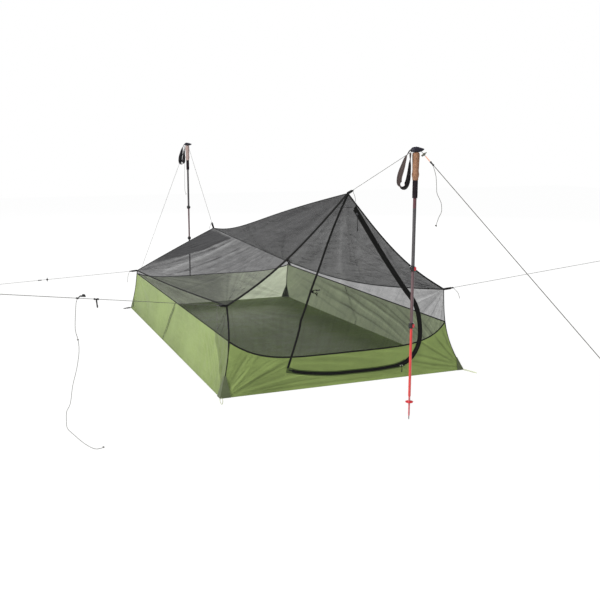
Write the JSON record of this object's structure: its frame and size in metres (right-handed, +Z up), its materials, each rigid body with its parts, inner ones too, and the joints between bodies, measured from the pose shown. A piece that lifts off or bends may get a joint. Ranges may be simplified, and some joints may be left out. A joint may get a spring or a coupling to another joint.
{
  "type": "mesh bug shelter",
  "caption": "One-person insect shelter of netting on a tub floor, hung from lines between walking poles at its front and rear, with a zipped door beside the front pole.",
  "frame": {"origin": "the middle of the floor sheet's underside, on the ground", "axes": "+Z up, +Y along the centre line from the door end to the low rear end, +X to the right of someone who faces the door"},
  "size_m": [3.1958, 4.9612, 1.205],
  "materials": {
    "green_nylon": "satin",
    "floor_nylon": "satin",
    "netting": "matte",
    "black_webbing": "matte",
    "black_plastic": "satin",
    "dark_metal": "satin",
    "red_metal": "satin",
    "red_plastic": "satin",
    "cork": "matte",
    "black_rubber": "matte",
    "guy_line": "matte",
    "grip_foam": "matte"
  },
  "bodies": {
    "shelter": {"floor_sheet": "floor_nylon", "left_wall": "green_nylon", "right_wall": "green_nylon", "rear_wall": "green_nylon", "front_wall": "green_nylon", "front_peak_patch": "green_nylon", "left_wall_netting": "netting", "right_wall_netting": "netting", "rear_netting": "netting", "left_roof_netting": "netting", "right_roof_netting": "netting", "front_netting_left": "netting", "front_netting_right": "netting", "seam_bindings": "black_webbing", "front_left_stake_loop": "guy_line", "front_right_stake_loop": "guy_line", "rear_left_stake_loop": "guy_line", "rear_right_stake_loop": "guy_line", "front_left_guy": "guy_line", "front_right_guy": "guy_line", "rear_left_guy": "guy_line", "front_peak_guy": "guy_line", "rear_peak_guy": "guy_line", "front_pole_guy": "guy_line", "rear_pole_guy": "guy_line", "front_pole_head": "black_rubber", "front_pole_grip": "cork", "front_pole_foam": "black_rubber", "front_pole_upper_tube": "dark_metal", "front_pole_upper_clamp": "black_plastic", "rear_pole_head": "black_rubber", "rear_pole_grip": "grip_foam", "rear_pole_foam": "black_rubber", "rear_pole_upper_tube": "dark_metal", "rear_pole_upper_clamp": "black_plastic"},
    "door": {"door_panel": "green_nylon", "door_netting": "netting", "door_bindings": "black_webbing"},
    "bottom_slider": {"bottom_zip_slider": "dark_metal"},
    "bottom_pull": {"bottom_zip_pull": "black_webbing"},
    "top_slider": {"top_zip_slider": "dark_metal"},
    "top_pull": {"top_zip_pull": "black_webbing"},
    "toggle": {"door_toggle": "black_plastic"},
    "front_left_tensioner": {"front_left_tensioner": "black_plastic"},
    "rear_left_tensioner": {"rear_left_tensioner": "black_plastic"},
    "front_pole_tensioner": {"front_pole_tensioner": "black_plastic"},
    "front_pole_middle": {"front_pole_middle_tube": "dark_metal", "front_pole_lower_clamp": "black_plastic"},
    "front_pole_lower": {"front_pole_lower_tube": "red_metal", "front_pole_basket": "black_rubber"},
    "front_upper_lever": {"front_pole_upper_lever": "red_plastic"},
    "front_lower_lever": {"front_pole_lower_lever": "red_plastic"},
    "front_strap": {"front_pole_strap": "black_webbing"},
    "rear_pole_middle": {"rear_pole_middle_tube": "dark_metal", "rear_pole_lower_clamp": "black_plastic"},
    "rear_pole_lower": {"rear_pole_lower_tube": "dark_metal", "rear_pole_basket": "black_rubber"},
    "rear_upper_lever": {"rear_pole_upper_lever": "black_plastic"},
    "rear_lower_lever": {"rear_pole_lower_lever": "black_plastic"},
    "rear_strap": {"rear_pole_strap": "black_webbing"}
  },
  "joints": [
    {"name": "door_hinge", "type": "hinge", "parent": "shelter", "child": "door", "pos_m": [-0.341, -1.19302, 0.107], "axis": [-0.3689, -0.0408, -0.9286], "range_deg": [0, 65]},
    {"name": "bottom_slider_travel", "type": "slide", "parent": "shelter", "child": "bottom_slider", "axis": [-0.9997, -0.003, -0.0245], "range_m": [0, 0.22]},
    {"name": "bottom_pull_swing", "type": "hinge", "parent": "bottom_slider", "child": "bottom_pull", "pos_m": [0.27198, -1.20516, 0.05852], "axis": [-1, 0, 0], "range_deg": [0, 150]},
    {"name": "top_slider_travel", "type": "slide", "parent": "door", "child": "top_slider", "axis": [0.5457, -0.0363, -0.8372], "range_m": [0, 0.24]},
    {"name": "top_pull_swing", "type": "hinge", "parent": "top_slider", "child": "top_pull", "pos_m": [0.04837, -1.16806, 0.86485], "axis": [-1, 0, 0], "range_deg": [0, 150]},
    {"name": "toggle_swing", "type": "hinge", "parent": "door", "child": "toggle", "pos_m": [-0.17117, -1.18006, 0.49381], "axis": [-0.0012, -0.9991, 0.0435], "range_deg": [-60, 60]},
    {"name": "front_left_tensioner_slide", "type": "slide", "parent": "shelter", "child": "front_left_tensioner", "axis": [-0.9378, -0.3039, 0.1676], "range_m": [-0.3, 0.06]},
    {"name": "rear_left_tensioner_slide", "type": "slide", "parent": "shelter", "child": "rear_left_tensioner", "axis": [-0.9557, 0.2812, -0.0871], "range_m": [-0.3, 0.25]},
    {"name": "front_pole_tensioner_slide", "type": "slide", "parent": "shelter", "child": "front_pole_tensioner", "axis": [0.3533, -0.6299, -0.6917], "range_m": [0, 0.4]},
    {"name": "front_pole_middle_slide", "type": "slide", "parent": "shelter", "child": "front_pole_middle", "axis": [0, 0, 1], "range_m": [0, 0.22]},
    {"name": "front_pole_lower_slide", "type": "slide", "parent": "front_pole_middle", "child": "front_pole_lower", "axis": [0, 0, 1], "range_m": [0, 0.28]},
    {"name": "front_upper_lever_turn", "type": "hinge", "parent": "shelter", "child": "front_upper_lever", "pos_m": [-0.0184, -1.817, 0.6835], "axis": [0, 0, -1], "range_deg": [0, 110]},
    {"name": "front_lower_lever_turn", "type": "hinge", "parent": "front_pole_middle", "child": "front_lower_lever", "pos_m": [-0.0176, -1.817, 0.4305], "axis": [0, 0, -1], "range_deg": [0, 110]},
    {"name": "front_strap_swing", "type": "hinge", "parent": "shelter", "child": "front_strap", "pos_m": [-0.03085, -1.817, 1.1918], "axis": [0, 1, 0], "range_deg": [0, 90]},
    {"name": "rear_pole_middle_slide", "type": "slide", "parent": "shelter", "child": "rear_pole_middle", "axis": [0, 0, 1], "range_m": [0, 0.22]},
    {"name": "rear_pole_lower_slide", "type": "slide", "parent": "rear_pole_middle", "child": "rear_pole_lower", "axis": [0, 0, 1], "range_m": [0, 0.28]},
    {"name": "rear_upper_lever_turn", "type": "hinge", "parent": "shelter", "child": "rear_upper_lever", "pos_m": [-0.0154, 1.8, 0.6835], "axis": [0, 0, -1], "range_deg": [0, 110]},
    {"name": "rear_lower_lever_turn", "type": "hinge", "parent": "rear_pole_middle", "child": "rear_lower_lever", "pos_m": [-0.0146, 1.8, 0.4305], "axis": [0, 0, -1], "range_deg": [0, 110]},
    {"name": "rear_strap_swing", "type": "hinge", "parent": "shelter", "child": "rear_strap", "pos_m": [-0.02785, 1.8, 1.1918], "axis": [0, 1, 0], "range_deg": [0, 90]}
  ]
}
